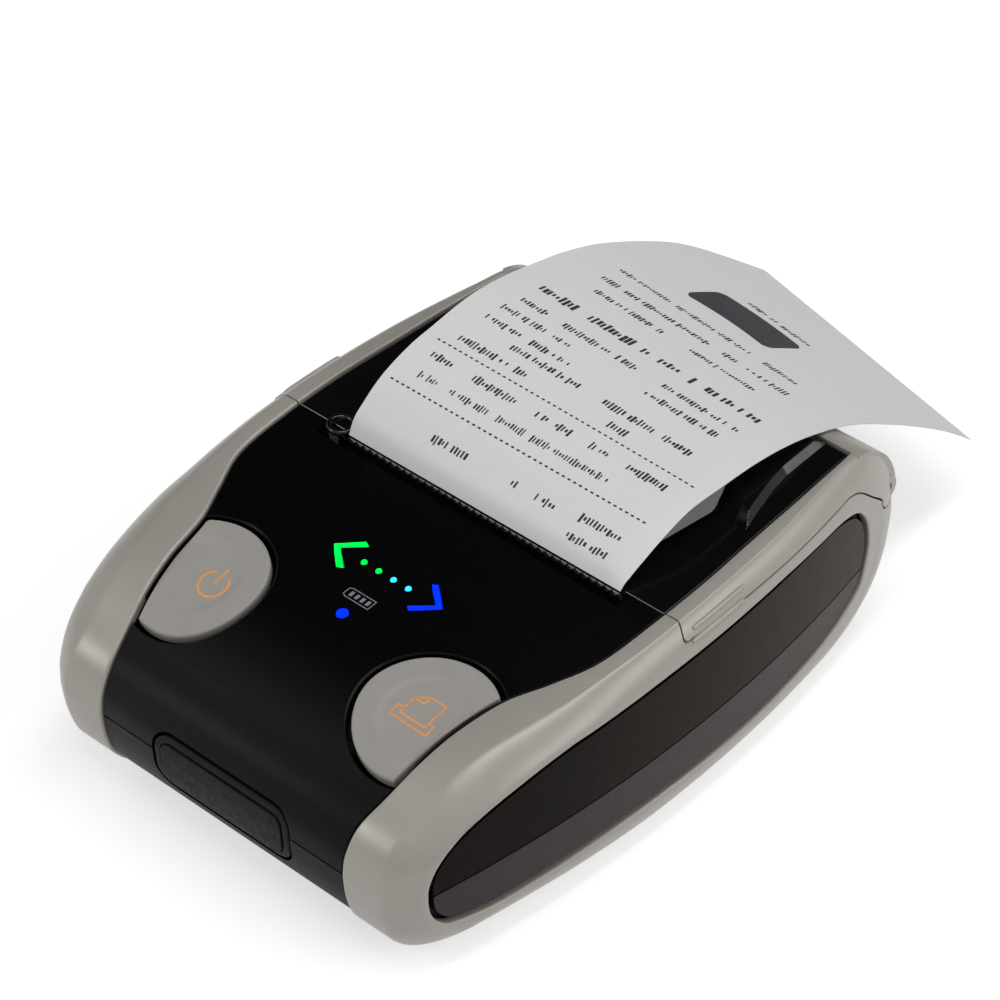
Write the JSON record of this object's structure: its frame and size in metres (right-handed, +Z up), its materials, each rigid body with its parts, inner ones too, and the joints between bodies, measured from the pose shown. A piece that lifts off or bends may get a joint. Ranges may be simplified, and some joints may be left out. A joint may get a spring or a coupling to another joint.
{
  "type": "portable mini printer",
  "caption": "Pocket receipt printer: black case between grey side bumpers, hinged paper lid, round keys, status lights, paper roll and torn receipt.",
  "frame": {"origin": "centre of the footprint on the table", "axes": "+X across the printer to the right, +Y from the keys to the hinge at the rear, +Z up"},
  "size_m": [0.0904, 0.166, 0.0494],
  "materials": {
    "black_plastic": "fine-grained satin black",
    "gloss_black": "smooth black with a soft gloss",
    "warm_grey": "warm grey with a soft satin sheen",
    "button_grey": "matte warm grey",
    "dark_rubber": "matte dark rubber",
    "steel": "plain steel",
    "dark_steel": "blackened steel strip",
    "aluminium": "plain aluminium",
    "head_ceramic": "glazed pale ceramic",
    "white_plastic": "off-white moulded plastic",
    "board_green": "green circuit board",
    "battery_blue": "plain dark blue wrap",
    "paper_white": "smooth white thermal paper",
    "card": "brown card tube",
    "ribbon_amber": "amber flat cable",
    "green_light": "lit green lens",
    "cyan_light": "lit cyan lens",
    "blue_light": "lit blue lens"
  },
  "bodies": {
    "case": {"lower_shell": "black_plastic", "upper_shell": "black_plastic", "left_bumper": "warm_grey", "right_bumper": "warm_grey", "gear_plate": "steel", "feed_motor": "steel", "motor_cradle": "black_plastic", "print_head": "head_ceramic", "head_heatsink": "aluminium", "head_bracket": "steel", "head_spring": "steel", "tear_bar": "dark_steel", "power_switch": "steel", "feed_switch": "steel", "green_bracket_lens": "green_light", "blue_bracket_lens": "blue_light", "level_lens_1": "green_light", "level_lens_2": "green_light", "level_lens_3": "cyan_light", "level_lens_4": "cyan_light", "status_lamp_lens": "blue_light", "key_board": "board_green", "main_board": "board_green", "battery_pack": "battery_blue", "dc_jack": "black_plastic", "usb_socket": "steel", "buzzer": "black_plastic", "paper_sensor": "black_plastic", "paper_tray": "black_plastic", "paper_web": "paper_white", "head_ribbon": "ribbon_amber", "case_screw_1": "steel", "foot_pad_1": "dark_rubber", "case_screw_2": "steel", "foot_pad_2": "dark_rubber", "case_screw_3": "steel", "foot_pad_3": "dark_rubber", "case_screw_4": "steel", "foot_pad_4": "dark_rubber"},
    "lid": {"lid_frame": "warm_grey", "lid_cover": "gloss_black", "hinge_pin_left": "steel", "hinge_pin_right": "steel", "platen_bush_left": "white_plastic", "platen_bush_right": "white_plastic", "receipt_strip": "paper_white"},
    "platen": {"platen_roller": "dark_rubber", "platen_shaft": "steel", "platen_gear": "white_plastic"},
    "roll": {"paper_roll": "paper_white", "paper_core": "card"},
    "reduction": {"reduction_gear": "white_plastic"},
    "motor_rotor": {"motor_pinion": "steel"},
    "power_key": {"power_button": "button_grey"},
    "feed_key": {"feed_button": "button_grey"},
    "port_flap": {"port_cover": "dark_rubber"},
    "battery_hatch": {"battery_door": "black_plastic"}
  },
  "joints": [
    {"name": "lid_hinge", "type": "hinge", "parent": "case", "child": "lid", "pos_m": [0, 0.0558, 0.0269], "axis": [-1, 0, 0], "range_deg": [0, 70]},
    {"name": "platen_spin", "type": "hinge", "parent": "lid", "child": "platen", "pos_m": [0, 0.0024, 0.031], "axis": [1, 0, 0], "continuous": true},
    {"name": "reduction_spin", "type": "hinge", "parent": "case", "child": "reduction", "pos_m": [0, 0.0024, 0.01975], "axis": [1, 0, 0], "continuous": true},
    {"name": "motor_spin", "type": "hinge", "parent": "case", "child": "motor_rotor", "pos_m": [0, -0.0081, 0.01975], "axis": [1, 0, 0], "continuous": true},
    {"name": "roll_spin", "type": "hinge", "parent": "case", "child": "roll", "pos_m": [0, 0.0265, 0.0199], "axis": [1, 0, 0], "continuous": true},
    {"name": "power_press", "type": "slide", "parent": "case", "child": "power_key", "axis": [0, 0.256, -0.9667], "range_m": [0, 0.0006], "stiffness_N_per_m": 1500, "springref_m": -0.0004},
    {"name": "feed_press", "type": "slide", "parent": "case", "child": "feed_key", "axis": [0, 0.256, -0.9667], "range_m": [0, 0.0006], "stiffness_N_per_m": 1500, "springref_m": -0.0004},
    {"name": "port_cover_hinge", "type": "hinge", "parent": "case", "child": "port_flap", "pos_m": [0, -0.05837, 0.0093], "axis": [1, 0, 0], "range_deg": [0, 90]},
    {"name": "battery_door_pull", "type": "slide", "parent": "case", "child": "battery_hatch", "axis": [0, 0, -1], "range_m": [0, 0.02]}
  ],
  "couplings": [
    {"joint": "reduction_spin", "follows": "platen_spin", "ratio": -0.5},
    {"joint": "motor_spin", "follows": "platen_spin", "ratio": 1.25},
    {"joint": "roll_spin", "follows": "platen_spin", "ratio": -0.25974}
  ]
}
